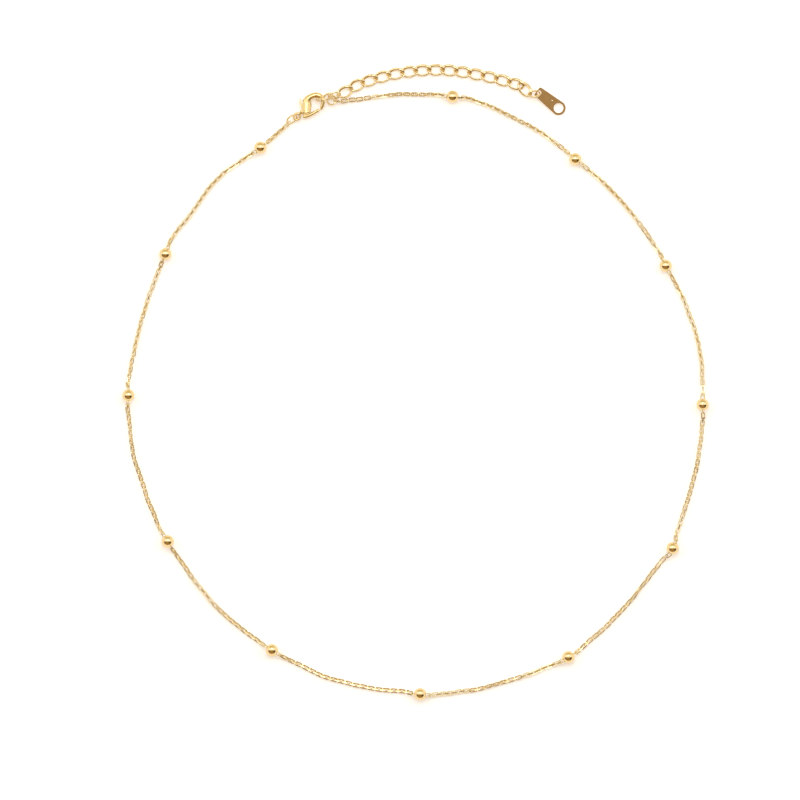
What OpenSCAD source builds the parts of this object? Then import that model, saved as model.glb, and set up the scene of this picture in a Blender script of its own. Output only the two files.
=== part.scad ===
// Ball chain necklace: a fine cable chain with twelve round beads, a lobster clasp,
// and a curb extender that ends in a flat teardrop tag. Laid out flat in one plane.

/* [Beads] */

// diameter of each polished round bead, mm
bead_d = 2.7; // [2.5:0.05:2.75]

// diameter of the hole drilled through each bead, mm
bead_bore = 0.9; // [0.88:0.02:1.1]

/* [Chain] */

// width of the fine cable chain, mm
chain_d = 1.0; // [0.8:0.05:1]

// wire diameter of the closed link at each end of the chain, mm
end_wire = 0.26; // [0.2:0.02:0.28]

/* [Rings and extender] */

// wire diameter of the round jump rings, mm
ring_wire = 0.36; // [0.3:0.02:0.38]

// wire diameter of the curb links, mm
link_wire = 0.42; // [0.34:0.02:0.44]

// how far each curb link is twisted out of its plane, mm
link_twist = 0.34; // [0.32:0.01:0.35]

/* [Clasp] */

// centre radius of the clasp's fixed eye, mm
eye_r = 0.68; // [0.66:0.01:0.7]

// wire diameter of the clasp's fixed eye, mm
eye_wire = 0.48; // [0.4:0.02:0.5]

// height of the clasp's spring housing, mm
body_h = 2.0; // [1.9:0.02:2]

// height of the slot that the lever turns in, mm
slot_h = 0.8; // [0.78:0.01:0.84]

// thickness of the lever's plate, mm
lever_t = 0.6; // [0.5:0.02:0.6]

// height of the lever's thumb tab, mm
tab_h = 1.0; // [0.7:0.05:1.1]

// radius of the rivet that the lever turns on, mm
pin_r = 0.2; // [0.16:0.01:0.21]

/* [Tag] */

// thickness of the flat tag, mm
tag_t = 0.3; // [0.2:0.02:0.34]

// radius of the tag's large hole, mm
tag_hole_r = 1.07; // [0.9:0.01:1.15]

// radius of the tag's small hole, mm
tag_eye_r = 0.47; // [0.44:0.01:0.5]

/* [Hidden] */

gold = [0.83, 0.66, 0.34];
tag_gold = [0.69, 0.52, 0.32];

// the points of each run of chain, from the clasp down the left side and round
runs = [
  [[-30.5, 53], [-31, 52.5]],
  [[-36.5, 48.5], [-42.5, 44], [-48, 37], [-52.5, 31]],
  [[-55.5, 24], [-58, 17], [-60.5, 8], [-62, 0.5]],
  [[-62, -6.5], [-61, -15], [-58.5, -23.5], [-55.5, -31]],
  [[-51.5, -37.5], [-46.5, -44.5], [-40.5, -51], [-34, -56]],
  [[-27.5, -60], [-20, -63.5], [-11, -66], [-2.5, -67]],
  [[4.5, -67.5], [13, -66.5], [22, -64], [30, -61]],
  [[36, -57.5], [42, -52], [48, -45.5], [53, -39]],
  [[56.5, -32.5], [59, -25], [61, -16.5], [62, -8.5]],
  [[62, -1], [61.5, 6], [59, 15], [56, 21.5]],
  [[52.5, 28], [48.5, 34], [42.5, 41], [37, 46]],
  [[31.5, 50.5], [26, 54.5], [18, 58.5], [12, 61]],
  [[4.5, 62], [-4, 62], [-12, 61]]
];

// bead centres, bead 1 next to the clasp
beads = [
  [-33.5, 50.5], [-54, 27.5], [-62, -3], [-53.5, -34.5],
  [-31, -58], [1, -67.5], [33, -59.5], [55.5, -36],
  [62, -5], [54, 25], [34.5, 48], [8, 61.5]
];

bead_z = bead_d / 2;
chain_z = chain_d / 2;

// where the chain stops short of its two end links, x, y, z, radius
chain_start = [-28.45, 54.75, 0.6, 0.35];
chain_stop = [-15.85, 60.5, 0.8, 0.35];

// the closed end links, x, y, z, then tilt, pitch and yaw in degrees
end_links = [
  [-27.55, 55.68, 0.82, -34.8, 9.8, 45.9],
  [-17.08, 60.55, 1.02, 76.2, 0, -1.9]
];

// curb links 1 to 16, x, y, z, then tilt, pitch and yaw in degrees
curb = [
  [-19.69, 61.25, 1.24, -68, 3.6, 19.6],
  [-15.19, 62.48, 0.89, 3.7, -12.2, 27],
  [-12.68, 63.92, 0.56, 0, 0, 27],
  [-9.95, 64.95, 0.56, 0, 0, 18],
  [-7.15, 65.75, 0.56, 0, 0, 14],
  [-4.3, 66.4, 0.56, 0, 0, 11],
  [-1.4, 66.85, 0.56, 0, 0, 7],
  [1.5, 67.15, 0.56, 0, 0, 4],
  [4.4, 67.25, 0.56, 0, 0, 0],
  [7.3, 67.15, 0.56, 0, 0, -4],
  [10.2, 66.8, 0.56, 0, 0, -8],
  [13.1, 66.3, 0.56, 0, 0, -11],
  [16, 65.7, 0.56, 0, 0, -13],
  [18.8, 65, 0.56, 0, 0, -15],
  [21.6, 64.2, 0.56, 0, 0, -16],
  [23.59, 63.08, 0.69, 2.35, 5.5, -48.5]
];

// the clasp's own frame: eye centre, then the turn of its length
clasp_at = [-25.6, 57.2, 1.03];
clasp_turn = 26;

// the neck between the eye and the housing, x, y, radius
neck = [[0.62, 0.22, 0.25], [0.95, 0.3, 0.34], [1.35, 0.42, 0.48], [1.9, 0.6, 0.55]];

// the body's centre line from the housing's mouth round the hook, x, y, half width
hook = [
  [1.93, -0.58, 0.3], [2, -0.42, 0.8], [2.15, -0.1, 1.07], [2.5, 0.6, 1.15],
  [2.9, 1.3, 1.13], [3.3, 1.9, 0.98], [3.8, 2.35, 0.78], [4.5, 2.52, 0.64],
  [5.2, 2.48, 0.64], [5.9, 2.26, 0.61], [6.4, 1.78, 0.56], [6.66, 1.2, 0.5],
  [6.55, 0.6, 0.46], [6.2, 0, 0.43], [5.85, -0.42, 0.39], [5.55, -0.68, 0.34],
  [5.2, -0.78, 0.3]
];

// the lever's centre line along the closed side, x, y, half width
arm = [
  [1.22, -0.7, 0.2], [1.45, -0.8, 0.32], [1.9, -0.88, 0.37], [2.6, -0.93, 0.37],
  [3.5, -0.9, 0.36], [4.3, -0.85, 0.34], [4.8, -0.81, 0.31], [4.98, -0.8, 0.28]
];

pivot = [2.1, 0.45];

// tag frame: small hole centre, pitch down to the large hole, turn
tag_at = [26.71, 62.36, 0.91];
tag_pitch = 6.2;
tag_turn = -38.3;
tag_span = 5.35;

function two(i) = str(i < 10 ? "0" : "", i);

// shared shapes

function unit(v) = v / norm(v);

// direction of a path of points with a radius at point i
function heading(p, i, closed) =
  let (n = len(p),
       a = closed ? p[(i + n - 1) % n] : p[max(i - 1, 0)],
       b = closed ? p[(i + 1) % n] : p[min(i + 1, n - 1)],
       d = b - a)
  unit([d.x, d.y, d.z]);

// one ring of points round a path point, no higher than top each way
function hoop(c, t, m, top) =
  let (s = unit(cross(t, [0, 0, 1])), u = cross(s, t), h = min(c[3], top))
  [for (j = [0:m - 1])
    [c.x, c.y, c.z] + c[3] * cos(360 * j / m) * s + h * sin(360 * j / m) * u];

// a point on the smooth curve between b and c
function blend(a, b, c, d, t) =
  0.5 * (2 * b + (c - a) * t + (2 * a - 5 * b + 4 * c - d) * t * t
         + (3 * b - a - 3 * c + d) * t * t * t);

function smooth(p, k) = concat(
  [for (i = [0:len(p) - 2], j = [0:k - 1])
    blend(p[max(i - 1, 0)], p[i], p[i + 1], p[min(i + 2, len(p) - 1)], j / k)],
  [p[len(p) - 1]]);

// a round bar that follows a path of [x, y, z, radius]
module bar(p, m, closed = false, top = 10) {
  n = len(p);
  points = [for (i = [0:n - 1]) each hoop(p[i], heading(p, i, closed), m, top)];
  sides = [for (i = [0:(closed ? n - 1 : n - 2)], j = [0:m - 1])
    let (a = i * m + j,
         b = ((i + 1) % n) * m + j,
         c = ((i + 1) % n) * m + (j + 1) % m,
         d = i * m + (j + 1) % m)
    each [[a, d, c], [a, c, b]]];
  caps = closed ? [] : [
    [for (j = [m - 1:-1:0]) j],
    [for (j = [0:m - 1]) (n - 1) * m + j]];
  polyhedron(points = points, faces = concat(sides, caps));
}

// a closed wire link, half length a, half width b, twisted by h
module wire_link(a, b, h, wire) {
  bar([for (i = [0:15]) [a * cos(22.5 * i), b * sin(22.5 * i), h * sin(45 * i), wire / 2]],
      6, true);
}

// a round ring of wire, radius to the wire's centre
module wire_ring(r, wire) {
  rotate_extrude($fn = 48) translate([r, 0]) circle(d = wire, $fn = 20);
}

// puts a piece at p = [x, y, z, tilt, pitch, yaw]
module laid(p) {
  translate([p.x, p.y, p.z]) rotate([p[3], -p[4], p[5]]) children();
}

module in_clasp() {
  translate(clasp_at) rotate([0, 0, clasp_turn]) children();
}

function flat(p) = [for (q = p) [q.x, q.y, 0, q.z]];

// chain and beads

// heading of the chain through bead i
function through(i) =
  let (a = runs[i][len(runs[i]) - 1], b = runs[i + 1][0]) unit(b - a);

// where a run leaves a bead, just inside the mouth of its bore
function mouth(i, side) =
  let (c = beads[i] + side * 1.2 * through(i)) [c.x, c.y, bead_z - 0.02, 0.3];

// the whole path of run k, up to its beads or end links
function run_path(k) = concat(
  [k == 0 ? chain_start : mouth(k - 1, 1)],
  [for (q = runs[k]) [q.x, q.y, chain_z, chain_z]],
  [k == 12 ? chain_stop : mouth(k, -1)]);

module cable_chain() {
  color(gold) for (k = [0:12]) bar(run_path(k), 8);
}

module bead(i) {
  d = through(i);
  color(gold) translate([beads[i].x, beads[i].y, bead_z]) difference() {
    sphere(d = bead_d, $fn = 48);
    rotate([0, 90, atan2(d.y, d.x)])
      translate([0, 0, -bead_d]) cylinder(d = bead_bore, h = 2 * bead_d, $fn = 24);
  }
}

module chain_end_link(i) {
  color(gold) laid(end_links[i]) wire_link(0.62, 0.44, 0, end_wire);
}

// rings and extender

module jump_ring_clasp() {
  color(gold) laid([-26.69, 56.61, 1.22, 56.9, 2.1, 36.9]) wire_ring(1.22, ring_wire);
}

module jump_ring_chain() {
  color(gold) laid([-18.06, 60.7, 0.79, -6.1, 19.3, -42.8]) wire_ring(1, ring_wire);
}

module jump_ring_extender() {
  color(gold) laid([-17.48, 61.7, 1.4, 57.8, 28.6, 32]) wire_ring(1.3, ring_wire);
}

module jump_ring_tag() {
  color(gold) laid([25.61, 62.07, 1.22, -14.5, 52.9, -68.4]) wire_ring(1.25, ring_wire);
}

module extender_link(i) {
  color(gold) laid(curb[i]) wire_link(1.75, 1.04, link_twist, link_wire);
}

// clasp

// the space that the lever turns in, seen from above
module lever_space() {
  polygon([[2.52, 0.45], [2.52, 3.6], [-0.1, 3], [1.6, 0.5]]);
  polygon([[1.5, 0.45], [1.2, -1.6], [3.9, -1.6], [3.9, 0.4], [2.75, 0.6]]);
  translate(pivot) circle(r = 0.64, $fn = 32);
}

module clasp_body() {
  color(gold) in_clasp() difference() {
    union() {
      wire_ring(eye_r, eye_wire);
      bar(smooth(flat(neck), 2), 12);
      bar(smooth(flat(hook), 3), 16, top = body_h / 2);
    }
    translate([0, 0, -slot_h / 2]) linear_extrude(slot_h) lever_space();
    translate([pivot.x, pivot.y, -1.5]) cylinder(r = pin_r + 0.05, h = 3, $fn = 12);
  }
}

// the lever's flat plate, with its hub, the stem of the tab and the root of the arm
module lever_plate() {
  translate(pivot) circle(r = 0.5, $fn = 32);
  polygon([[1.75, 0.75], [1.78, 2.4], [2.1, 2.5], [2.36, 0.8]]);
  polygon([[1.62, 0.35], [1.35, -0.8], [2.6, -1], [2.55, 0.3]]);
}

module clasp_lever() {
  color(gold) in_clasp() difference() {
    union() {
      translate([0, 0, -lever_t / 2]) linear_extrude(lever_t) lever_plate();
      translate([0, 0, -tab_h / 2]) linear_extrude(tab_h)
        polygon([[1.99, 2.3], [2.51, 3.25], [2.33, 3.35], [1.81, 2.4]]);
      bar(smooth(flat(arm), 2), 12, top = lever_t / 2);
    }
    translate([pivot.x, pivot.y, -1.5]) cylinder(r = pin_r + 0.1, h = 3, $fn = 24);
  }
}

module clasp_pin() {
  color(gold) in_clasp() translate([pivot.x, pivot.y, -0.93])
    cylinder(r = pin_r, h = 1.86, $fn = 12);
}

// tag

module tag_outline() {
  translate([tag_span, 0]) circle(r = 1.52, $fn = 64);
  polygon([[-0.27, -1.13], [5.25, -1.517], [5.25, 1.517], [-0.27, 1.13]]);
  translate([-0.62, -0.78]) square([0.6, 1.56]);
  for (s = [-1, 1]) translate([-0.27, s * 0.78]) circle(r = 0.35, $fn = 24);
}

module end_tag() {
  color(tag_gold) translate(tag_at) rotate([0, tag_pitch, tag_turn]) difference() {
    translate([0, 0, -tag_t / 2]) linear_extrude(tag_t) difference() {
      tag_outline();
      circle(r = tag_eye_r, $fn = 32);
      translate([tag_span, 0]) circle(r = tag_hole_r, $fn = 48);
    }
    translate([3.2, 0.48, tag_t / 2 - 0.1]) cylinder(r = 0.14, h = 0.3, $fn = 16);
  }
}

// the necklace

cable_chain();
for (i = [0:11]) bead(i);
chain_end_link(0);  // chain_end_link_1
chain_end_link(1);  // chain_end_link_2
jump_ring_clasp();
jump_ring_chain();
jump_ring_extender();
jump_ring_tag();
clasp_body();
clasp_lever();
clasp_pin();
for (i = [0:15]) extender_link(i);
end_tag();
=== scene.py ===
"""A fine cable chain necklace with round beads, laid out on a white surface.

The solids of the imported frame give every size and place. This script draws the linked chain, the
polished beads, the rings, the clasp, the extender and the tag over them, and lights them softly.
"""

import logging
import math
from dataclasses import dataclass, field
from enum import Enum

import bmesh
import bpy
from bmesh.types import BMesh, BMVert
from bpy.types import Material, Mesh, Node, NodeSocket, NodeTree, Object, ShaderNodeTree
from mathutils import Euler, Matrix, Vector


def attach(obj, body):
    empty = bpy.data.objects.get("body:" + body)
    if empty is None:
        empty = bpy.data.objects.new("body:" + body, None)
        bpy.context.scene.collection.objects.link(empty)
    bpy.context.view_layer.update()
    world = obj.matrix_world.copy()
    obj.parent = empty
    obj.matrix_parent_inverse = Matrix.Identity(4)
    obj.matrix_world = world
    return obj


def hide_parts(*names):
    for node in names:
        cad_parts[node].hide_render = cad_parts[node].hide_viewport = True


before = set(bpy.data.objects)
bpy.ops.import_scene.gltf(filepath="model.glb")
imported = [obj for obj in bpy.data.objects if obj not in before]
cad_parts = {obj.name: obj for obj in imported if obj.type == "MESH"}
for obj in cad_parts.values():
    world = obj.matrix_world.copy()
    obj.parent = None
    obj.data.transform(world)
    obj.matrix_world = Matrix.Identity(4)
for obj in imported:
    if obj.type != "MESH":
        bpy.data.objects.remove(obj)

LOG = logging.getLogger("necklace")
MAIN_BODY = "necklace"
LEVER_BODY = "clasp_lever"

Point = tuple[float, float]
Triple = tuple[float, float, float]
Outline = tuple[Point, ...]
Station = tuple[Vector, float]
Place = tuple[float, float, float, float, float, float]

# Where the chain runs, in metres, from the clasp down the left side and round.
RUNS: tuple[Outline, ...] = (
    ((-0.0305, 0.0530), (-0.0310, 0.0525)),
    ((-0.0365, 0.0485), (-0.0425, 0.0440), (-0.0480, 0.0370), (-0.0525, 0.0310)),
    ((-0.0555, 0.0240), (-0.0580, 0.0170), (-0.0605, 0.0080), (-0.0620, 0.0005)),
    ((-0.0620, -0.0065), (-0.0610, -0.0150), (-0.0585, -0.0235), (-0.0555, -0.0310)),
    ((-0.0515, -0.0375), (-0.0465, -0.0445), (-0.0405, -0.0510), (-0.0340, -0.0560)),
    ((-0.0275, -0.0600), (-0.0200, -0.0635), (-0.0110, -0.0660), (-0.0025, -0.0670)),
    ((0.0045, -0.0675), (0.0130, -0.0665), (0.0220, -0.0640), (0.0300, -0.0610)),
    ((0.0360, -0.0575), (0.0420, -0.0520), (0.0480, -0.0455), (0.0530, -0.0390)),
    ((0.0565, -0.0325), (0.0590, -0.0250), (0.0610, -0.0165), (0.0620, -0.0085)),
    ((0.0620, -0.0010), (0.0615, 0.0060), (0.0590, 0.0150), (0.0560, 0.0215)),
    ((0.0525, 0.0280), (0.0485, 0.0340), (0.0425, 0.0410), (0.0370, 0.0460)),
    ((0.0315, 0.0505), (0.0260, 0.0545), (0.0180, 0.0585), (0.0120, 0.0610)),
    ((0.0045, 0.0620), (-0.0040, 0.0620), (-0.0120, 0.0610)),
)

# The bead centres seen from above, in metres, bead 1 next to the clasp.
BEADS: Outline = (
    (-0.0335, 0.0505), (-0.0540, 0.0275), (-0.0620, -0.0030), (-0.0535, -0.0345),
    (-0.0310, -0.0580), (0.0010, -0.0675), (0.0330, -0.0595), (0.0555, -0.0360),
    (0.0620, -0.0050), (0.0540, 0.0250), (0.0345, 0.0480), (0.0080, 0.0615),
)


class Slot(Enum):
    """The record's material slots."""

    CHAIN = "chain_gold"
    BEAD = "bead_gold"
    CLASP = "clasp_gold"
    LINK = "link_gold"
    TAG = "tag_gold"


# Shared helpers for meshes and nodes


def placed(place: Place) -> Matrix:
    """Builds the transform of a laid piece.

    Args:
        place: x, y and z in metres, then tilt, pitch and yaw in degrees.

    Returns:
        The matrix that carries the piece from its own axes to the frame.
    """
    x, y, z, tilt, pitch, yaw = place
    turn = Euler((math.radians(tilt), math.radians(-pitch), math.radians(yaw)), "XYZ")
    return Matrix.Translation((x, y, z)) @ turn.to_matrix().to_4x4()


def blend(a: float, b: float, c: float, d: float, t: float) -> float:
    """Finds a value on a smooth curve through four others.

    Args:
        a: the value before the stretch.
        b: the value at its start.
        c: the value at its end.
        d: the value after it.
        t: how far along the stretch, from 0 to 1.

    Returns:
        The value there.
    """
    return 0.5 * (2 * b + (c - a) * t + (2 * a - 5 * b + 4 * c - d) * t * t
                  + (3 * b - a - 3 * c + d) * t * t * t)


def smooth_path(stations: list[Station], steps: int) -> list[Station]:
    """Rounds a path of stations.

    Args:
        stations: points with a radius each.
        steps: how many stations the result has for each of the first ones.

    Returns:
        The smoothed stations.
    """
    rows = [(*point, radius) for point, radius in stations]
    last = len(rows) - 1
    result: list[Station] = []
    for i in range(last):
        near = (rows[max(i - 1, 0)], rows[i], rows[i + 1], rows[min(i + 2, last)])
        for j in range(steps):
            x, y, z, r = (blend(*values, j / steps) for values in zip(*near))
            result.append((Vector((x, y, z)), r))
    return [*result, stations[-1]]


def mesh_from(bm: BMesh) -> Mesh:
    """Turns a bmesh into a mesh with its faces pointing outwards.

    Args:
        bm: the bmesh, which is used up.

    Returns:
        The mesh.
    """
    bmesh.ops.recalc_face_normals(bm, faces=bm.faces)
    mesh = bpy.data.meshes.new("shape")
    bm.to_mesh(mesh)
    bm.free()
    return mesh


def bridge(bm: BMesh, rings: list[list[BMVert]], closed: bool) -> None:
    """Joins rings of corners with faces.

    Args:
        bm: the mesh that they are in.
        rings: the rings, all with the same number of corners.
        closed: whether the last ring joins the first. If not, both get a cap.
    """
    for a, b in zip(rings, [*rings[1:], rings[0]] if closed else rings[1:]):
        for j in range(len(a)):
            k = (j + 1) % len(a)
            bm.faces.new((a[j], b[j], b[k], a[k]))
    if not closed:
        bm.faces.new(list(reversed(rings[0])))
        bm.faces.new(rings[-1])


def bar(stations: list[Station], sides: int, closed: bool = False,
        top: float | list[float] = 1.0) -> Mesh:
    """Makes a round bar along a path.

    Args:
        stations: points with a radius each.
        sides: how many sides the bar has.
        closed: whether the path joins its start.
        top: the most that it rises or falls from its path, in metres, once or for each station.

    Returns:
        The bar.
    """
    bm = bmesh.new()
    count = len(stations)
    tops = top if isinstance(top, list) else [top] * count
    rings: list[list[BMVert]] = []
    for i, (point, radius) in enumerate(stations):
        before = stations[(i - 1) % count if closed else max(i - 1, 0)][0]
        after = stations[(i + 1) % count if closed else min(i + 1, count - 1)][0]
        ahead = (after - before).normalized()
        side = ahead.cross(Vector((0, 0, 1))).normalized()
        up = min(radius, tops[i]) * side.cross(ahead)
        side *= radius
        ring = []
        for j in range(sides):
            angle = 2 * math.pi * j / sides
            ring.append(bm.verts.new(point + math.cos(angle) * side + math.sin(angle) * up))
        rings.append(ring)
    bridge(bm, rings, closed)
    return mesh_from(bm)


def prism(outline: list[Vector], half: float) -> Mesh:
    """Makes an upright prism.

    Args:
        outline: its corners seen from above, counterclockwise.
        half: how far it rises, and dips.

    Returns:
        The prism.
    """
    bm = bmesh.new()
    bottom = [bm.verts.new((p.x, p.y, -half)) for p in outline]
    top = [bm.verts.new((p.x, p.y, half)) for p in outline]
    bm.faces.new(list(reversed(bottom)))
    bm.faces.new(top)
    for i in range(len(outline)):
        k = (i + 1) % len(outline)
        bm.faces.new((bottom[i], bottom[k], top[k], top[i]))
    return mesh_from(bm)


def arc(centre: Point, radius: float, start: float, end: float, count: int) -> list[Vector]:
    """Draws an arc seen from above.

    Args:
        centre: its centre.
        radius: its radius.
        start: where it starts, in degrees from +X.
        end: where it ends.
        count: how many steps it has.

    Returns:
        Its count + 1 points.
    """
    angles = [math.radians(start + (end - start) * i / count) for i in range(count + 1)]
    return [Vector((centre[0] + radius * math.cos(a), centre[1] + radius * math.sin(a), 0))
            for a in angles]


def disc(centre: Point, radius: float, count: int) -> list[Vector]:
    """Draws a whole circle seen from above.

    Args:
        centre: its centre.
        radius: its radius.
        count: how many points it has.

    Returns:
        Its points.
    """
    return arc(centre, radius, 0, 360, count)[:-1]


def flat(points: Outline) -> list[Vector]:
    """Turns x and y pairs into corners.

    Args:
        points: the pairs, counterclockwise.

    Returns:
        The corners, at height 0.
    """
    return [Vector((x, y, 0)) for x, y in points]


def soften(mesh: Mesh, sharp_above: float) -> None:
    """Shades a mesh smooth but keeps its hard edges.

    Args:
        mesh: the mesh to shade.
        sharp_above: the angle in degrees over which an edge stays hard.
    """
    bm = bmesh.new()
    bm.from_mesh(mesh)
    for face in bm.faces:
        face.smooth = True
    for edge in bm.edges:
        edge.smooth = edge.is_manifold and edge.calc_face_angle(0) < math.radians(sharp_above)
    bm.to_mesh(mesh)
    bm.free()


def add_object(name: str, mesh: Mesh) -> Object:
    """Puts a mesh in the scene as an object at the origin.

    Args:
        name: the object's name.
        mesh: its mesh.

    Returns:
        The object.
    """
    piece = bpy.data.objects.new(name, mesh)
    bpy.context.scene.collection.objects.link(piece)
    return piece


def applied(piece: Object) -> Mesh:
    """Takes a piece's mesh with its modifiers in it, and removes the piece.

    Args:
        piece: the piece.

    Returns:
        Its finished mesh.
    """
    graph = bpy.context.evaluated_depsgraph_get()
    mesh = bpy.data.meshes.new_from_object(piece.evaluated_get(graph))
    bpy.data.objects.remove(piece)
    return mesh


def combined(base: Mesh, tool: Mesh, operation: str) -> Mesh:
    """Joins or cuts two closed meshes.

    Args:
        base: the mesh that is kept.
        tool: the mesh that is added or taken away.
        operation: UNION or DIFFERENCE.

    Returns:
        The new mesh.
    """
    piece = add_object("base", base)
    other = add_object("tool", tool)
    step = piece.modifiers.new("shape", "BOOLEAN")
    step.operation = operation
    step.solver = "EXACT"
    step.object = other
    mesh = applied(piece)
    bpy.data.objects.remove(other)
    return mesh


def finish_piece(name: str, mesh: Mesh, material: Material,
                 nodes: list[str], body: str = MAIN_BODY) -> Object:
    """Puts a finished mesh in the scene and ties it to the frame.

    Args:
        name: the piece's name.
        mesh: its mesh, in the frame's place.
        material: its finish.
        nodes: the solids that it stands for.
        body: the body that it rides on.

    Returns:
        The piece.
    """
    mesh.name = name
    mesh.materials.clear()
    mesh.materials.append(material)
    piece = add_object(name, mesh)
    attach(piece, body)
    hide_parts(*nodes)
    LOG.info("%s: %d faces", name, len(mesh.polygons))
    return piece


def socket(tree: NodeTree, name: str, kind: str, output: bool = False) -> None:
    """Adds a named input, or an output, to a node group.

    Args:
        tree: the group.
        name: the socket's name.
        kind: the socket's type.
        output: whether it is an output.
    """
    tree.interface.new_socket(name, in_out="OUTPUT" if output else "INPUT", socket_type=kind)


def add_node(tree: NodeTree, kind: str, inputs: dict[object, object] | None = None,
             **settings: object) -> Node:
    """Adds a node and wires it up.

    Args:
        tree: the tree to add to.
        kind: the node's type.
        inputs: for each input, by name or number, an output socket or a value.
        settings: the node's own settings.

    Returns:
        The node.
    """
    node = tree.nodes.new(kind)
    for key, value in settings.items():
        setattr(node, key, value)
    for key, value in (inputs or {}).items():
        if isinstance(value, NodeSocket):
            tree.links.new(value, node.inputs[key])
        else:
            node.inputs[key].default_value = value
    return node


def worked_out(tree: NodeTree, operation: str, a: object, b: object = None) -> NodeSocket:
    """Adds an arithmetic node.

    Args:
        tree: the tree to add to.
        operation: what the node does.
        a: its first value, an output socket or a number.
        b: its second value, where it takes one.

    Returns:
        The node's output socket.
    """
    values = {0: a} if b is None else {0: a, 1: b}
    return add_node(tree, "ShaderNodeMath", values, operation=operation).outputs[0]


def eased(tree: NodeTree, value: NodeSocket, edge: Point) -> NodeSocket:
    """Adds a smooth step.

    Args:
        tree: the tree to add to.
        value: the value that the step follows.
        edge: where the step starts and where it is full.

    Returns:
        A socket that goes from 0 to 1.
    """
    inputs = {0: value, 1: edge[0], 2: edge[1]}
    return add_node(tree, "ShaderNodeMapRange", inputs, interpolation_type="SMOOTHSTEP").outputs[0]


def mixed(tree: NodeTree, share: NodeSocket, first: object, second: object) -> NodeSocket:
    """Adds a mix of two colours.

    Args:
        tree: the tree to add to.
        share: how much of the second colour shows, from 0 to 1.
        first: the first colour, an output socket or a value.
        second: the second colour.

    Returns:
        The mixed colour's socket.
    """
    inputs = {0: share, 6: first, 7: second}
    return add_node(tree, "ShaderNodeMix", inputs, data_type="RGBA").outputs[2]


def run_tree(name: str, base: Mesh, tree: NodeTree, values: dict[str, object]) -> Mesh:
    """Runs a geometry tree on a mesh.

    Args:
        name: the name of the result.
        base: the mesh that the tree starts from.
        tree: the tree.
        values: the tree's inputs by name.

    Returns:
        The plain mesh that the tree makes.
    """
    piece = add_object(name, base)
    step = piece.modifiers.new("build", "NODES")
    step.node_group = tree
    for item in tree.interface.items_tree:
        if item.in_out == "INPUT" and item.name in values:
            step[item.identifier] = values[item.name]
    return applied(piece)


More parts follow.
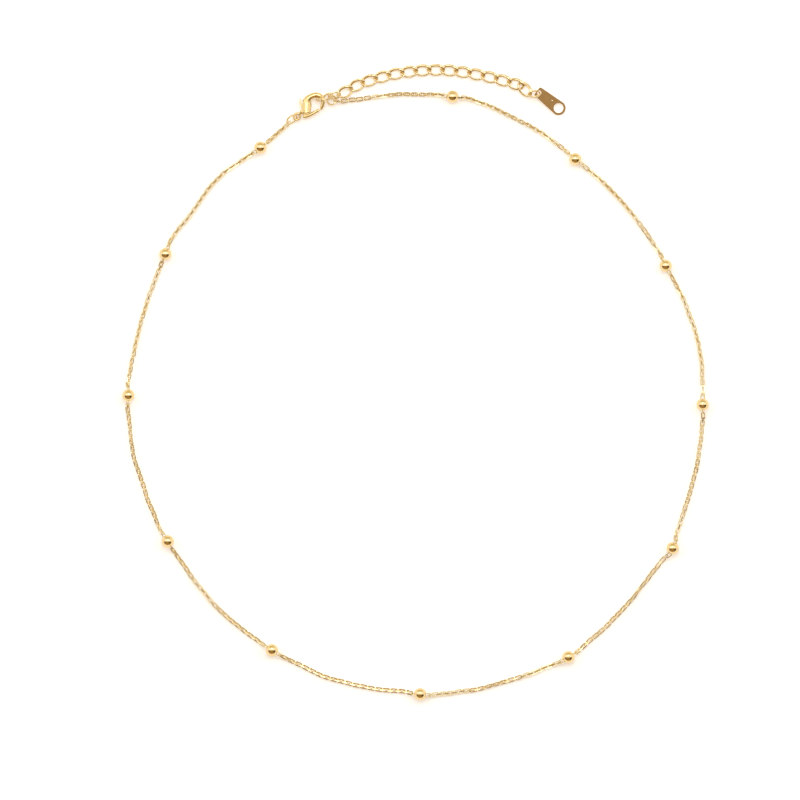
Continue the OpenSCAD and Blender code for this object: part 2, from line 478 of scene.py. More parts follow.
def linked_chain_tree() -> NodeTree:
    """Builds the tree that hangs linked wire ovals along the chain's runs.

    Returns:
        The geometry tree.
    """
    tree = bpy.data.node_groups.new("linked chain", "GeometryNodeTree")
    socket(tree, "Geometry", "NodeSocketGeometry")
    for name in ("Pitch", "Link length", "Link width", "Wire", "Bend", "Lean", "Twist",
                 "Twist size", "Sway", "Sway size"):
        socket(tree, name, "NodeSocketFloat")
    socket(tree, "Finish", "NodeSocketMaterial")
    socket(tree, "Geometry", "NodeSocketGeometry", output=True)
    given = tree.nodes.new("NodeGroupInput").outputs

    # a point for each link, each run of chain on its own
    curve = add_node(tree, "GeometryNodeMeshToCurve", {0: given["Geometry"]})
    curve = add_node(tree, "GeometryNodeCurveSplineType", {0: curve.outputs[0]},
                     spline_type="CATMULL_ROM")
    curve = add_node(tree, "GeometryNodeSetSplineResolution",
                     {"Geometry": curve.outputs[0], "Resolution": 24})
    length = tree.nodes.new("GeometryNodeSplineLength").outputs["Length"]
    steps = worked_out(tree, "ROUND", worked_out(tree, "DIVIDE", length, given["Pitch"]))
    points = add_node(tree, "GeometryNodeResampleCurve",
                      {"Curve": curve.outputs[0], "Count": worked_out(tree, "ADD", steps, 1.0)},
                      mode="COUNT")

    # the chain lies a little unevenly on the surface
    where = tree.nodes.new("GeometryNodeInputPosition").outputs[0]
    sway = add_node(tree, "ShaderNodeTexNoise",
                    {"Vector": where, "Scale": given["Sway size"], "Detail": 1.0})
    sway = add_node(tree, "ShaderNodeVectorMath", {0: sway.outputs["Color"], 1: (0.5, 0.5, 0.5)},
                    operation="SUBTRACT")
    sway = add_node(tree, "ShaderNodeVectorMath", {0: sway.outputs[0], 1: (1.0, 1.0, 0.0)},
                    operation="MULTIPLY")
    sway = add_node(tree, "ShaderNodeVectorMath", {0: sway.outputs[0], "Scale": given["Sway"]},
                    operation="SCALE")
    points = add_node(tree, "GeometryNodeSetPosition",
                      {"Geometry": points.outputs[0], "Offset": sway.outputs[0]})

    # every other link is turned by a quarter, and all of them twist slowly along the chain
    number = tree.nodes.new("GeometryNodeInputIndex").outputs[0]
    quarter = worked_out(tree, "MULTIPLY", worked_out(tree, "MODULO", number, 2.0), math.pi / 2)
    drift = add_node(tree, "ShaderNodeTexNoise",
                     {"Vector": where, "Scale": given["Twist size"], "Detail": 1.0})
    centred = worked_out(tree, "SUBTRACT", drift.outputs[0], 0.5)
    twist = worked_out(tree, "MULTIPLY", centred, given["Twist"])
    roll = worked_out(tree, "ADD", quarter, worked_out(tree, "ADD", twist, given["Lean"]))
    ahead = tree.nodes.new("GeometryNodeInputTangent").outputs[0]
    up = add_node(tree, "ShaderNodeVectorRotate",
                  {"Vector": (0, 0, 1), "Axis": ahead, "Angle": roll}, rotation_type="AXIS_ANGLE")
    turn = add_node(tree, "FunctionNodeAxesToRotation", {0: ahead, 1: up.outputs[0]},
                    primary_axis="X", secondary_axis="Z")

    # one link, bent from round wire
    loop = add_node(tree, "GeometryNodeCurvePrimitiveQuadrilateral",
                    {"Width": worked_out(tree, "SUBTRACT", given["Link length"], given["Wire"]),
                     "Height": worked_out(tree, "SUBTRACT", given["Link width"], given["Wire"])})
    loop = add_node(tree, "GeometryNodeFilletCurve",
                    {"Curve": loop.outputs[0], "Radius": given["Bend"], "Count": 4}, mode="POLY")
    section = add_node(tree, "GeometryNodeCurvePrimitiveCircle",
                       {"Resolution": 6, "Radius": worked_out(tree, "DIVIDE", given["Wire"], 2.0)})
    link = add_node(tree, "GeometryNodeCurveToMesh", {0: loop.outputs[0], 1: section.outputs[0]})

    chain = add_node(tree, "GeometryNodeInstanceOnPoints",
                     {"Points": points.outputs[0], "Instance": link.outputs[0],
                      "Rotation": turn.outputs[0]})
    chain = add_node(tree, "GeometryNodeRealizeInstances", {0: chain.outputs[0]})
    chain = add_node(tree, "GeometryNodeSetShadeSmooth",
                     {"Geometry": chain.outputs[0], "Shade Smooth": False})
    chain = add_node(tree, "GeometryNodeSetMaterial",
                     {"Geometry": chain.outputs[0], "Material": given["Finish"]})
    add_node(tree, "NodeGroupOutput", {0: chain.outputs[0]})
    return tree


def repeated_piece_tree() -> NodeTree:
    """Builds the tree that sets one piece at every point, turned as the point's turn says.

    Returns:
        The geometry tree.
    """
    tree = bpy.data.node_groups.new("repeated piece", "GeometryNodeTree")
    socket(tree, "Geometry", "NodeSocketGeometry")
    socket(tree, "Piece", "NodeSocketObject")
    socket(tree, "Finish", "NodeSocketMaterial")
    socket(tree, "Geometry", "NodeSocketGeometry", output=True)
    given = tree.nodes.new("NodeGroupInput").outputs
    piece = add_node(tree, "GeometryNodeObjectInfo", {"Object": given["Piece"]})
    turn = add_node(tree, "GeometryNodeInputNamedAttribute", {"Name": "turn"},
                    data_type="FLOAT_VECTOR")
    turn = add_node(tree, "FunctionNodeEulerToRotation", {0: turn.outputs[0]})
    points = add_node(tree, "GeometryNodeMeshToPoints", {"Mesh": given["Geometry"]})
    row = add_node(tree, "GeometryNodeInstanceOnPoints",
                   {"Points": points.outputs[0], "Instance": piece.outputs["Geometry"],
                    "Rotation": turn.outputs[0]})
    row = add_node(tree, "GeometryNodeRealizeInstances", {0: row.outputs[0]})
    row = add_node(tree, "GeometryNodeSetMaterial",
                   {"Geometry": row.outputs[0], "Material": given["Finish"]})
    add_node(tree, "NodeGroupOutput", {0: row.outputs[0]})
    return tree


def repeat(name: str, pattern: Mesh, places: list[Place], tree: NodeTree,
           material: Material) -> Mesh:
    """Sets copies of one mesh at a list of places.

    Args:
        name: the name of the result.
        pattern: the mesh to repeat.
        places: where each copy lies.
        tree: the tree that repeats a piece.
        material: the copies' finish.

    Returns:
        One plain mesh with all the copies.
    """
    spots = bpy.data.meshes.new(name + "_spots")
    spots.from_pydata([place[:3] for place in places], [], [])
    turns = spots.attributes.new("turn", "FLOAT_VECTOR", "POINT")
    for entry, place in zip(turns.data, places):
        entry.vector = (math.radians(place[3]), math.radians(-place[4]), math.radians(place[5]))
    piece = add_object(name + "_pattern", pattern)
    mesh = run_tree(name, spots, tree, {"Piece": piece, "Finish": material})
    bpy.data.objects.remove(piece)
    return mesh


# Finishes


def plating_group() -> ShaderNodeTree:
    """Builds the shader group for gold plating: soft changes of tone, and fine polishing marks.

    Returns:
        The shader group.
    """
    group = bpy.data.node_groups.new("gold plating", "ShaderNodeTree")
    socket(group, "Place", "NodeSocketVector")
    for name in ("Light tone", "Deep tone"):
        socket(group, name, "NodeSocketColor")
    for name in ("Patches", "Marks", "Polish", "Haze"):
        socket(group, name, "NodeSocketFloat")
    socket(group, "Color", "NodeSocketColor", output=True)
    socket(group, "Roughness", "NodeSocketFloat", output=True)
    socket(group, "Height", "NodeSocketFloat", output=True)
    given = group.nodes.new("NodeGroupInput").outputs
    tone = add_node(group, "ShaderNodeTexNoise",
                    {"Vector": given["Place"], "Scale": given["Patches"], "Detail": 3.0})
    color = mixed(group, tone.outputs[0], given["Deep tone"], given["Light tone"])
    drawn_out = (1.0, 0.12, 0.12)  # the marks run along X
    drawn = add_node(group, "ShaderNodeMapping", {"Vector": given["Place"], "Scale": drawn_out})
    marks = add_node(group, "ShaderNodeTexNoise",
                     {"Vector": drawn.outputs[0], "Scale": given["Marks"], "Detail": 2.0})
    haze = worked_out(group, "MULTIPLY", marks.outputs[0], given["Haze"])
    rough = worked_out(group, "ADD", given["Polish"], haze)
    add_node(group, "NodeGroupOutput",
             {"Color": color, "Roughness": rough, "Height": marks.outputs[0]})
    return group


@dataclass(frozen=True)
class GoldFinish:
    """Gold plating as one kind of piece wears it.

    Attributes:
        name: the material's name.
        light: the lighter of its two tones, which noise mixes in random patches.
        deep: the darker of its two tones.
        polish: its roughness where it is cleanest.
        haze: how much roughness the polishing marks add.
        relief: how deep the marks read, in metres.
        patches: how many tone patches lie on a metre.
        marks: how many marks lie on a metre.
        turn: how far the marks are turned about Z, in degrees.
        marks_strength: how much of their relief shows.
    """

    name: str
    light: Triple
    deep: Triple
    polish: float
    haze: float
    relief: float
    patches: float = 400.0
    marks: float = 9000.0
    turn: float = 0.0
    marks_strength: float = 0.6

    def material(self, group: ShaderNodeTree) -> Material:
        """Builds the finish.

        Args:
            group: the plating group.

        Returns:
            The material.
        """
        material = bpy.data.materials.new(self.name)
        material.use_nodes = True
        tree = material.node_tree
        shader = tree.nodes["Principled BSDF"]
        shader.inputs["Metallic"].default_value = 1.0
        place = tree.nodes.new("ShaderNodeTexCoord").outputs["Object"]
        turned = add_node(tree, "ShaderNodeMapping",
                          {"Vector": place, "Rotation": (0, 0, math.radians(self.turn))})
        plating = tree.nodes.new("ShaderNodeGroup")
        plating.node_tree = group
        tree.links.new(turned.outputs[0], plating.inputs["Place"])
        for name, value in (("Light tone", (*self.light, 1)), ("Deep tone", (*self.deep, 1)),
                            ("Patches", self.patches), ("Marks", self.marks),
                            ("Polish", self.polish), ("Haze", self.haze)):
            plating.inputs[name].default_value = value
        tree.links.new(plating.outputs["Color"], shader.inputs["Base Color"])
        tree.links.new(plating.outputs["Roughness"], shader.inputs["Roughness"])
        bump = add_node(tree, "ShaderNodeBump",
                        {"Height": plating.outputs["Height"], "Strength": self.marks_strength,
                         "Distance": self.relief})
        tree.links.new(bump.outputs[0], shader.inputs["Normal"])
        return material


FINISHES: dict[Slot, GoldFinish] = {
    Slot.CHAIN: GoldFinish("chain gold", light=(0.98, 0.86, 0.58), deep=(0.64, 0.47, 0.20),
                           polish=0.12, haze=0.1, relief=0.000001, patches=1100.0),
    Slot.BEAD: GoldFinish("bead gold", light=(0.88, 0.68, 0.36), deep=(0.81, 0.60, 0.30),
                          polish=0.03, haze=0.05, relief=0.000001),
    Slot.CLASP: GoldFinish("clasp gold", light=(0.84, 0.64, 0.31), deep=(0.74, 0.54, 0.23),
                           polish=0.17, haze=0.12, relief=0.000002),
    Slot.LINK: GoldFinish("link gold", light=(0.97, 0.81, 0.51), deep=(0.70, 0.51, 0.23),
                          polish=0.05, haze=0.08, relief=0.000002, patches=700.0),
    Slot.TAG: GoldFinish("tag gold", light=(0.90, 0.76, 0.56), deep=(0.80, 0.64, 0.44),
                         polish=0.05, haze=0.06, relief=0.000002, turn=38.3),
}


# The pieces


@dataclass
class Beads:
    """The twelve polished round beads, each drilled through for the chain."""

    radius: float = 0.00135
    bore: float = 0.00045
    lip: float = 0.00007
    turns: int = 48
    steps: int = 26
    lip_steps: int = 5
    crease: float = 50

    def headings(self) -> list[Vector]:
        """Returns the chain's direction through each bead."""
        return [(Vector((*after[0], 0)) - Vector((*before[-1], 0))).normalized()
                for before, after in zip(RUNS, RUNS[1:])]

    def profile(self) -> list[Point]:
        """Returns the half section's points: along the bore, and out from it."""
        out = self.bore + self.lip
        along = math.sqrt((self.radius - self.lip) ** 2 - out ** 2)
        edge = math.atan2(out, along)
        count, sweep = self.lip_steps, edge + math.pi / 2
        shell = [edge + (math.pi - 2 * edge) * i / self.steps for i in range(self.steps + 1)]
        points = [(self.radius * math.cos(a), self.radius * math.sin(a)) for a in shell]
        far = [math.pi - edge + sweep * i / count for i in range(1, count + 1)]
        points += [(self.lip * math.cos(a) - along, out + self.lip * math.sin(a)) for a in far]
        points += [(along * side, self.bore) for side in (-0.5, 0.0, 0.5)]
        near = [sweep * i / count - math.pi / 2 for i in range(count)]
        points += [(along + self.lip * math.cos(a), out + self.lip * math.sin(a)) for a in near]
        return points

    def pattern(self) -> Mesh:
        """Returns one bead with its bore along X."""
        bm = bmesh.new()
        rings = []
        for i in range(self.turns):
            angle = 2 * math.pi * i / self.turns
            rings.append([bm.verts.new((along, out * math.cos(angle), out * math.sin(angle)))
                          for along, out in self.profile()])
        bridge(bm, rings, closed=True)
        mesh = mesh_from(bm)
        soften(mesh, self.crease)
        return mesh

    def build(self, tree: NodeTree, material: Material) -> Object:
        """Sets the beads on the chain.

        Args:
            tree: the tree that repeats a piece.
            material: their finish.

        Returns:
            The piece.
        """
        places = [(x, y, self.radius, 0.0, 0.0, math.degrees(math.atan2(ahead.y, ahead.x)))
                  for (x, y), ahead in zip(BEADS, self.headings())]
        mesh = repeat("beads", self.pattern(), places, tree, material)
        nodes = [f"bead_{i:02d}" for i in range(1, len(BEADS) + 1)]
        return finish_piece("beads", mesh, material, nodes)


@dataclass
class CableChain:
    """The fine cable chain, link through link from one end link to the other."""

    pitch: float = 0.00084
    length: float = 0.00156
    width: float = 0.00102
    wire: float = 0.00026
    bend: float = 0.00016
    height: float = 0.00057
    lean: float = 0.25
    twist: float = 2.2
    twist_size: float = 75.0
    sway: float = 0.0005
    sway_size: float = 240.0
    in_bead: float = 0.0017
    sag: float = 0.00006
    start: Triple = (-0.02810, 0.05505, 0.00066)
    stop: Triple = (-0.01616, 0.06052, 0.00094)

    def run(self, index: int, beads: Beads) -> list[Triple]:
        """Lays one run.

        Args:
            index: the run's number, from 0 at the clasp.
            beads: the beads between the runs.

        Returns:
            Its points.
        """
        headings = beads.headings()
        points = [(x, y, self.height) for x, y in RUNS[index]]
        if index == 0:
            points = [self.start, *points]
        else:
            points = [self.mouth(index - 1, 1, headings, beads.radius), *points]
        if index == len(RUNS) - 1:
            return [*points, self.stop]
        return [*points, self.mouth(index, -1, headings, beads.radius)]

    def mouth(self, bead: int, side: int, headings: list[Vector], height: float) -> Triple:
        """Finds where the chain enters a bead.

        Args:
            bead: the bead's number, from 0.
            side: -1 where the chain comes in and 1 where it leaves.
            headings: the chain's direction through each bead.
            height: the beads' height.

        Returns:
            The centre of the link there.
        """
        x, y = BEADS[bead]
        step = side * self.in_bead
        return (x + step * headings[bead].x, y + step * headings[bead].y, height - self.sag)

    def build(self, beads: Beads, tree: NodeTree, material: Material) -> Object:
        """Links the chain.

        Args:
            beads: the beads between the runs.
            tree: the tree that links a chain.
            material: the chain's finish.

        Returns:
            The piece.
        """
        points: list[Triple] = []
        edges: list[tuple[int, int]] = []
        for index in range(len(RUNS)):
            run = self.run(index, beads)
            edges += [(len(points) + i, len(points) + i + 1) for i in range(len(run) - 1)]
            points += run
        route = bpy.data.meshes.new("chain_route")
        route.from_pydata(points, edges, [])
        mesh = run_tree("cable_chain_links", route, tree, {
            "Pitch": self.pitch, "Link length": self.length, "Link width": self.width,
            "Wire": self.wire, "Bend": self.bend, "Lean": self.lean, "Twist": self.twist,
            "Twist size": self.twist_size, "Sway": self.sway, "Sway size": self.sway_size,
            "Finish": material})
        return finish_piece("cable_chain_links", mesh, material, ["cable_chain"])


@dataclass
class WireRing:
    """A round or oval wire ring, with the fine cut where it was closed."""

    name: str
    node: str
    slot: Slot
    place: Place
    half_length: float
    half_width: float
    wire: float
    cut_at: float = 90.0
    cut: float = 0.00003
    steps: int = 56
    sides: int = 14
    crease: float = 45

    def build(self, material: Material) -> Object:
        """Bends the ring.

        Args:
            material: its finish.

        Returns:
            The piece.
        """
        gap = self.cut / self.half_length
        stations: list[Station] = []
        for i in range(self.steps + 1):
            angle = math.radians(self.cut_at) + gap / 2 + (2 * math.pi - gap) * i / self.steps
            x, y = self.half_length * math.cos(angle), self.half_width * math.sin(angle)
            stations.append((Vector((x, y, 0)), self.wire / 2))
        mesh = bar(stations, self.sides)
        mesh.transform(placed(self.place))
        soften(mesh, self.crease)
        return finish_piece(self.name, mesh, material, [self.node])


RINGS: tuple[WireRing, ...] = (
    WireRing("clasp_jump_ring", "jump_ring_clasp", Slot.LINK,
             (-0.02669, 0.05661, 0.00122, 56.9, 2.1, 36.9), 0.00122, 0.00122, 0.00036, 140),
    WireRing("chain_jump_ring", "jump_ring_chain", Slot.LINK,
             (-0.01806, 0.06070, 0.00079, -6.1, 19.3, -42.8), 0.001, 0.001, 0.00036, 200),
    WireRing("extender_jump_ring", "jump_ring_extender", Slot.LINK,
             (-0.01748, 0.06170, 0.00140, 57.8, 28.6, 32.0), 0.0013, 0.0013, 0.00036, 60),
    WireRing("tag_jump_ring", "jump_ring_tag", Slot.LINK,
             (0.02561, 0.06207, 0.00122, -14.5, 52.9, -68.4), 0.00125, 0.00125, 0.00036, 300),
    WireRing("first_end_link", "chain_end_link_1", Slot.CHAIN,
             (-0.02755, 0.05568, 0.00082, -34.8, 9.8, 45.9), 0.00062, 0.00044, 0.00026, 90),
    WireRing("last_end_link", "chain_end_link_2", Slot.CHAIN,
             (-0.01708, 0.06055, 0.00102, 76.2, 0.0, -1.9), 0.00062, 0.00044, 0.00026, 90),
)


@dataclass
class Extender:
    """The sixteen curb links of the extender."""

    half_length: float = 0.00175
    half_width: float = 0.00104
    twist: float = 0.00034
    wire: float = 0.00044
    broad: float = 0.0001
    slim: float = 0.00001
    squareness: float = 0.2
    steps: int = 56
    sides: int = 14
    crease: float = 60
    places: tuple[Place, ...] = (
        (-0.01969, 0.06125, 0.00124, -68.0, 3.6, 19.6),
        (-0.01519, 0.06248, 0.00089, 3.7, -12.2, 27.0),
        (-0.01268, 0.06392, 0.00056, 0.0, 0.0, 27.0),
        (-0.00995, 0.06495, 0.00056, 0.0, 0.0, 18.0),
        (-0.00715, 0.06575, 0.00056, 0.0, 0.0, 14.0),
        (-0.00430, 0.06640, 0.00056, 0.0, 0.0, 11.0),
        (-0.00140, 0.06685, 0.00056, 0.0, 0.0, 7.0),
        (0.00150, 0.06715, 0.00056, 0.0, 0.0, 4.0),
        (0.00440, 0.06725, 0.00056, 0.0, 0.0, 0.0),
        (0.00730, 0.06715, 0.00056, 0.0, 0.0, -4.0),
        (0.01020, 0.06680, 0.00056, 0.0, 0.0, -8.0),
        (0.01310, 0.06630, 0.00056, 0.0, 0.0, -11.0),
        (0.01600, 0.06570, 0.00056, 0.0, 0.0, -13.0),
        (0.01880, 0.06500, 0.00056, 0.0, 0.0, -15.0),
        (0.02160, 0.06420, 0.00056, 0.0, 0.0, -16.0),
        (0.02359, 0.06308, 0.00069, 2.35, 5.5, -48.5),
    )

    def pattern(self) -> Mesh:
        """Returns one curb link."""
        stations: list[Station] = []
        for i in range(self.steps):
            angle = 2 * math.pi * i / self.steps
            across = math.sin(angle)
            x = self.half_length * math.cos(angle)
            y = self.half_width * across * abs(across) ** self.squareness
            radius = self.wire / 2 + (self.broad if angle < math.pi else self.slim)
            stations.append((Vector((x, y, self.twist * math.sin(2 * angle))), radius))
        mesh = bar(stations, self.sides, closed=True, top=self.wire / 2)
        soften(mesh, self.crease)
        return mesh

    def build(self, tree: NodeTree, material: Material) -> Object:
        """Links the extender.

        Args:
            tree: the tree that repeats a piece.
            material: its finish.

        Returns:
            The piece.
        """
        mesh = repeat("extender_links", self.pattern(), list(self.places), tree, material)
        nodes = [f"extender_link_{i:02d}" for i in range(1, len(self.places) + 1)]
        return finish_piece("extender_links", mesh, material, nodes)


@dataclass
class Clasp:
    """The lobster clasp: body with hook and eye, sprung lever, and rivet."""

    place: Place = (-0.0256, 0.0572, 0.00103, 0.0, 0.0, 26.0)
    eye_radius: float = 0.00068
    eye_wire: float = 0.00048
    body_height: float = 0.002
    slope: float = 0.3
    ease: float = 0.0003
    hook_height: float = 0.00056
    slot_height: float = 0.0008
    plate: float = 0.0006
    tab_height: float = 0.001
    pivot: Point = (0.0021, 0.00045)
    boss: float = 0.0005
    boss_room: float = 0.00064
    pin_hole: float = 0.00022
    through: float = 0.0015
    sides: int = 40
    arm_sides: int = 28
    pin_sides: int = 32
    eye_sides: int = 20
    eye_steps: int = 48
    hook_steps: int = 6
    arm_steps: int = 4
    crease: float = 32
    neck: tuple[Triple, ...] = (
        (0.00062, 0.00022, 0.00025), (0.00095, 0.00030, 0.00034), (0.00135, 0.00042, 0.00048),
        (0.00190, 0.00060, 0.00055),
    )
    hook: tuple[Triple, ...] = (
        (0.00190, -0.00062, 0.00012), (0.00194, -0.00057, 0.00045), (0.00200, -0.00042, 0.00080),
        (0.00215, -0.00010, 0.00107), (0.00250, 0.00060, 0.00115), (0.00290, 0.00130, 0.00113),
        (0.00330, 0.00190, 0.00098), (0.00380, 0.00235, 0.00078), (0.00450, 0.00252, 0.00064),
        (0.00520, 0.00248, 0.00064), (0.00590, 0.00226, 0.00061), (0.00640, 0.00178, 0.00056),
        (0.00666, 0.00120, 0.00050), (0.00655, 0.00060, 0.00046), (0.00620, 0.0, 0.00043),
        (0.00585, -0.00042, 0.00039), (0.00555, -0.00068, 0.00034), (0.00526, -0.00077, 0.00030),
        (0.00520, -0.00078, 0.00024),
    )
    arm: tuple[Triple, ...] = (
        (0.00106, -0.00062, 0.00006), (0.00109, -0.00064, 0.00014), (0.00122, -0.00070, 0.00022),
        (0.00145, -0.00080, 0.00032), (0.00190, -0.00088, 0.00037), (0.00260, -0.00093, 0.00037),
        (0.00350, -0.00090, 0.00036), (0.00430, -0.00085, 0.00034), (0.00480, -0.00081, 0.00031),
        (0.00495, -0.00080, 0.00029), (0.00499, -0.00080, 0.00023),
    )
    tab_slot: Outline = (
        (0.00252, 0.00045), (0.00252, 0.0036), (-0.0001, 0.003), (0.0016, 0.0005))
    arm_slot: Outline = (
        (0.0015, 0.00045), (0.0012, -0.0016), (0.0039, -0.0016), (0.0039, 0.0004),
        (0.00275, 0.0006))
    heel: Outline = (
        (0.00162, 0.00035), (0.00135, -0.0008), (0.0026, -0.001), (0.00255, 0.0003))
    stem: Outline = (
        (0.00175, 0.00075), (0.00236, 0.0008), (0.0021, 0.0025), (0.00178, 0.0024))
    tab: Outline = (
        (0.00199, 0.0023), (0.00251, 0.00325), (0.00233, 0.00335), (0.00181, 0.0024))
    rivet: Outline = (
        (-0.00095, 0.00004), (-0.00094, 0.00011), (-0.00092, 0.00017), (-0.00088, 0.0002),
        (0.00088, 0.0002), (0.00092, 0.00017), (0.00094, 0.00011), (0.00095, 0.00004))

    def path(self, rows: tuple[Triple, ...], steps: int) -> list[Station]:
        """Smooths a bar's path.

        Args:
            rows: x, y and radius along it.
            steps: how many stations each row becomes.

        Returns:
            Its stations.
        """
        return smooth_path([(Vector((x, y, 0)), r) for x, y, r in rows], steps)

    def body_mesh(self) -> Mesh:
        """Returns the body in the clasp's own axes."""
        path = self.path(self.hook, self.hook_steps)
        above = [max(0.0, point.y) for point, _ in path]
        tops = [self.body_height / 2 - self.slope * y * y / (y + self.ease) for y in above]
        tops = [max(height, self.hook_height) for height in tops]
        neck = bar(self.path(self.neck, self.arm_steps), self.arm_sides)
        body = combined(bar(path, self.sides, top=tops), neck, "UNION")
        circle = disc((0, 0), self.eye_radius, self.eye_steps)
        eye = bar([(point, self.eye_wire / 2) for point in circle], self.eye_sides, closed=True)
        body = combined(body, eye, "UNION")
        for outline in (flat(self.tab_slot), flat(self.arm_slot),
                        disc(self.pivot, self.boss_room, self.sides)):
            body = combined(body, prism(outline, self.slot_height / 2), "DIFFERENCE")
        hole = disc(self.pivot, self.pin_hole, self.pin_sides)
        return combined(body, prism(hole, self.through), "DIFFERENCE")

    def lever_mesh(self) -> Mesh:
        """Returns the lever in the clasp's own axes."""
        arm = self.path(self.arm, self.arm_steps)
        lever = bar(arm, self.arm_sides, top=self.plate / 2)
        for outline, height in ((disc(self.pivot, self.boss, self.sides), self.plate),
                                (flat(self.heel), self.plate), (flat(self.stem), self.plate),
                                (flat(self.tab), self.tab_height)):
            lever = combined(lever, prism(outline, height / 2), "UNION")
        return lever

    def rivet_mesh(self) -> Mesh:
        """Returns the rivet with its two domed heads, in the clasp's own axes."""
        bm = bmesh.new()
        rings = []
        for height, radius in self.rivet:
            circle = disc(self.pivot, radius, self.pin_sides)
            rings.append([bm.verts.new((p.x, p.y, height)) for p in circle])
        bridge(bm, rings, closed=False)
        return mesh_from(bm)

    def build(self, material: Material) -> list[Object]:
        """Makes the clasp.

        Args:
            material: its finish.

        Returns:
            The body, the lever and the rivet.
        """
        pieces = []
        for name, mesh, node, body in (
                ("clasp_hook_body", self.body_mesh(), "clasp_body", MAIN_BODY),
                ("clasp_thumb_lever", self.lever_mesh(), "clasp_lever", LEVER_BODY),
                ("clasp_rivet", self.rivet_mesh(), "clasp_pin", MAIN_BODY)):
            mesh.transform(placed(self.place))
            soften(mesh, self.crease)
            pieces.append(finish_piece(name, mesh, material, [node], body))
        return pieces


@dataclass
class Tag:
    """The flat teardrop tag at the extender's end."""

    place: Place = (0.02671, 0.06236, 0.00091, 0.0, -6.2, -38.3)
    thickness: float = 0.0003
    span: float = 0.00535
    wide_radius: float = 0.00152
    narrow_half: float = 0.00113
    narrow_end: float = -0.00062
    corner: float = 0.00035
    hole: float = 0.00107
    eye: float = 0.00047
    shoulder: float = 93.75
    rim: float = 0.00005
    dimple: float = 0.00018
    dimple_at: Point = (0.0032, 0.00048)
    through: float = 0.001
    steps: int = 56
    corner_steps: int = 8
    crease: float = 15

    def outline(self) -> list[Vector]:
        """Returns the tag's edge seen from above, counterclockwise."""
        inset = self.narrow_half - self.corner
        start = self.narrow_end + self.corner
        points = arc((self.span, 0), self.wide_radius, -self.shoulder, self.shoulder, self.steps)
        points += arc((start, inset), self.corner, 90, 180, self.corner_steps)
        points += arc((start, -inset), self.corner, 180, 270, self.corner_steps)
        return points

    def build(self, material: Material) -> Object:
        """Stamps the tag.

        Args:
            material: its finish.

        Returns:
            The piece.
        """
        half = self.thickness / 2
        mesh = prism(self.outline(), half)
        for centre, radius in (((0, 0), self.eye), ((self.span, 0), self.hole)):
            hole = prism(disc(centre, radius, self.steps), self.through)
            mesh = combined(mesh, hole, "DIFFERENCE")
        bm = bmesh.new()
        bmesh.ops.create_cone(bm, cap_ends=True, segments=32, radius1=0.0, radius2=2 * self.dimple,
                              depth=1.4 * self.dimple,
                              matrix=Matrix.Translation((*self.dimple_at, half)))
        mesh = combined(mesh, mesh_from(bm), "DIFFERENCE")
        piece = add_object("tag_rimmed", mesh)
        edge = piece.modifiers.new("rim", "BEVEL")
        edge.limit_method = "ANGLE"
        edge.angle_limit = math.radians(40)
        edge.width = self.rim
        edge.segments = 2
        mesh = applied(piece)
        mesh.transform(placed(self.place))
        soften(mesh, self.crease)
        return finish_piece("teardrop_tag", mesh, material, ["end_tag"])


# The studio


@dataclass(frozen=True)
class Softbox:
    """A soft rectangular lamp, aimed at the middle of the necklace."""

    name: str
    lean: float
    turn: float
    width: float
    depth: float
    power: float
    distance: float = 0.6

    def build(self) -> Object:
        """Hangs the lamp at lean degrees from the zenith, turned from +Y towards +X.

        Returns:
            The lamp.
        """
        data = bpy.data.lights.new(self.name, "AREA")
        data.shape = "RECTANGLE"
        data.size = self.width
        data.size_y = self.depth
        data.energy = self.power
        lean, turn = math.radians(self.lean), math.radians(self.turn)
        towards = Vector((math.sin(lean) * math.sin(turn), math.sin(lean) * math.cos(turn),
                          math.cos(lean)))
        lamp = bpy.data.objects.new(self.name, data)
        lamp.location = self.distance * towards
        lamp.rotation_euler = towards.to_track_quat("Z", "Y").to_euler()
        bpy.context.scene.collection.objects.link(lamp)
        return lamp


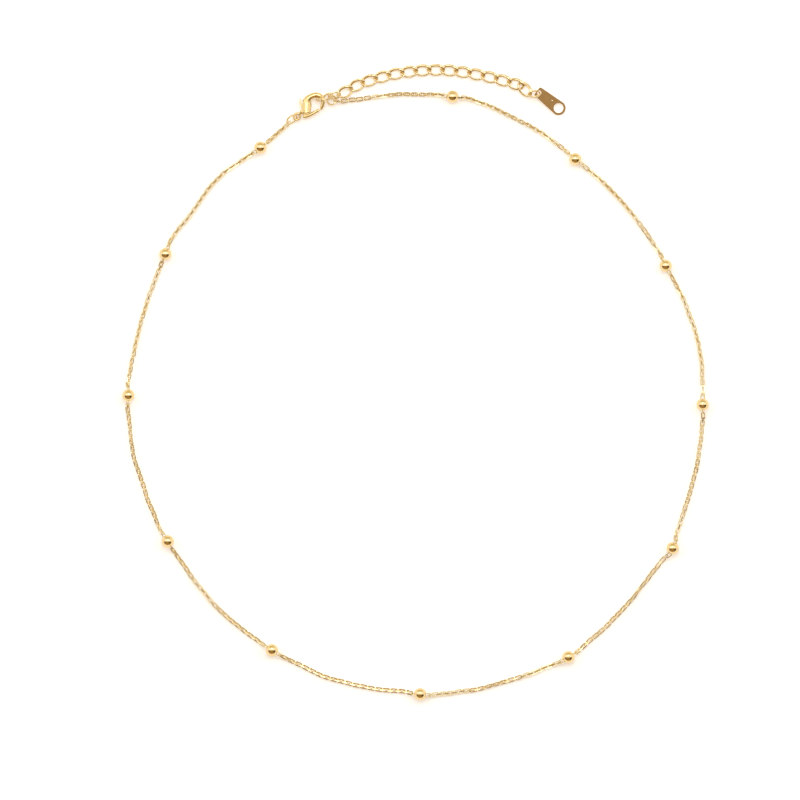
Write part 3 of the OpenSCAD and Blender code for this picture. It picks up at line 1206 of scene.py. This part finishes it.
@dataclass
class Studio:
    """The white surface, the room's light and the camera straight above.

    Each edge in the room says where its step starts and is full, on a ball with a radius of 1.
    """

    aim: Point = (-0.00335, -0.0040)
    height: float = 2.4
    view_width: float = 0.1728
    floor: float = -0.00002
    floor_half: float = 1.5
    floor_tone: Triple = (0.98, 0.975, 0.97)
    floor_glow: Triple = (1.0, 0.95, 0.92)
    glow: float = 0.3
    wall_tone: Triple = (1.12, 1.12, 1.12)
    back_tone: Triple = (0.78, 0.70, 0.44)
    back_edge: Point = (0.55, 0.85)
    shade_tone: Triple = (0.42, 0.27, 0.11)
    shade_front: Point = (-0.04, -0.09)
    shade_height: Point = (0.22, 0.36)
    corner_tone: Triple = (0.07, 0.04, 0.01)
    corner_shift: float = 0.1
    corner_edge: Point = (0.42, 0.78)
    boxes: tuple[Softbox, ...] = field(default_factory=lambda: (
        Softbox("main box", 24, 0, 0.27, 0.25, 0.6),
        Softbox("left box", 42, -66, 0.07, 0.13, 0.09),
        Softbox("right box", 42, 66, 0.07, 0.13, 0.09),
    ))

    def surface(self) -> Object:
        """Lays the white surface and returns it."""
        mesh = bpy.data.meshes.new("surface")
        far = self.floor_half
        corners = [(-far, -far), (far, -far), (far, far), (-far, far)]
        mesh.from_pydata([(x, y, self.floor) for x, y in corners], [], [(0, 1, 2, 3)])
        material = bpy.data.materials.new("white surface")
        material.use_nodes = True
        shader = material.node_tree.nodes["Principled BSDF"]
        shader.inputs["Base Color"].default_value = (*self.floor_tone, 1)
        shader.inputs["Roughness"].default_value = 0.8
        shader.inputs["Emission Color"].default_value = (*self.floor_glow, 1)
        shader.inputs["Emission Strength"].default_value = self.glow
        mesh.materials.append(material)
        surface = add_object("surface", mesh)
        return surface

    def room(self) -> None:
        """Lights the room: pale walls, gold ones behind, and a warm shade high in front."""
        world = bpy.data.worlds.new("room")
        bpy.context.scene.world = world
        world.use_nodes = True
        tree = world.node_tree
        tree.nodes.clear()
        towards = tree.nodes.new("ShaderNodeTexCoord").outputs["Generated"]
        parts = add_node(tree, "ShaderNodeSeparateXYZ", {0: towards})
        front = eased(tree, parts.outputs[1], self.shade_front)
        high = eased(tree, parts.outputs[2], self.shade_height)
        shade = worked_out(tree, "MULTIPLY", front, high)
        across = worked_out(tree, "ADD", parts.outputs[0], self.corner_shift)
        corner = eased(tree, worked_out(tree, "ABSOLUTE", across), self.corner_edge)
        back = eased(tree, parts.outputs[1], self.back_edge)
        dim = mixed(tree, corner, (*self.shade_tone, 1), (*self.corner_tone, 1))
        wall = mixed(tree, back, (*self.wall_tone, 1), (*self.back_tone, 1))
        tone = mixed(tree, shade, wall, dim)
        light = add_node(tree, "ShaderNodeBackground", {0: tone, 1: 1.0})
        add_node(tree, "ShaderNodeOutputWorld", {0: light.outputs[0]})

    def camera(self) -> None:
        """Hangs the camera straight above, at the photo's scale."""
        data = bpy.data.cameras.new("camera")
        data.sensor_width = 36.0
        data.lens = data.sensor_width * self.height / self.view_width
        data.clip_start = 0.01
        camera = bpy.data.objects.new("camera", data)
        camera.location = (*self.aim, self.height)
        bpy.context.scene.collection.objects.link(camera)
        bpy.context.scene.camera = camera

    def build(self) -> None:
        """Sets up the studio."""
        self.surface()
        self.room()
        self.camera()
        for box in self.boxes:
            box.build()
        bpy.context.scene.view_settings.view_transform = "Standard"
        LOG.info("studio: %d lamps", len(self.boxes))


def rows(bounds: tuple[Vector, Vector]) -> list[list[float]]:
    """Turns a box into plain numbers.

    Args:
        bounds: its two corners.

    Returns:
        The corners as plain lists of numbers.
    """
    return [[float(value) for value in corner] for corner in bounds]


def main() -> None:
    """Builds the necklace over its solids, then the studio round it."""
    logging.basicConfig(level=logging.INFO, format="%(name)s: %(message)s")
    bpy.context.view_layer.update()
    group = plating_group()
    metals = {slot: finish.material(group) for slot, finish in FINISHES.items()}
    repeater = repeated_piece_tree()
    beads = Beads()
    beads.build(repeater, metals[Slot.BEAD])
    CableChain().build(beads, linked_chain_tree(), metals[Slot.CHAIN])
    for ring in RINGS:
        ring.build(metals[ring.slot])
    Extender().build(repeater, metals[Slot.LINK])
    Clasp().build(metals[Slot.CLASP])
    Tag().build(metals[Slot.TAG])
    Studio().build()


if __name__ == "__main__":
    main()
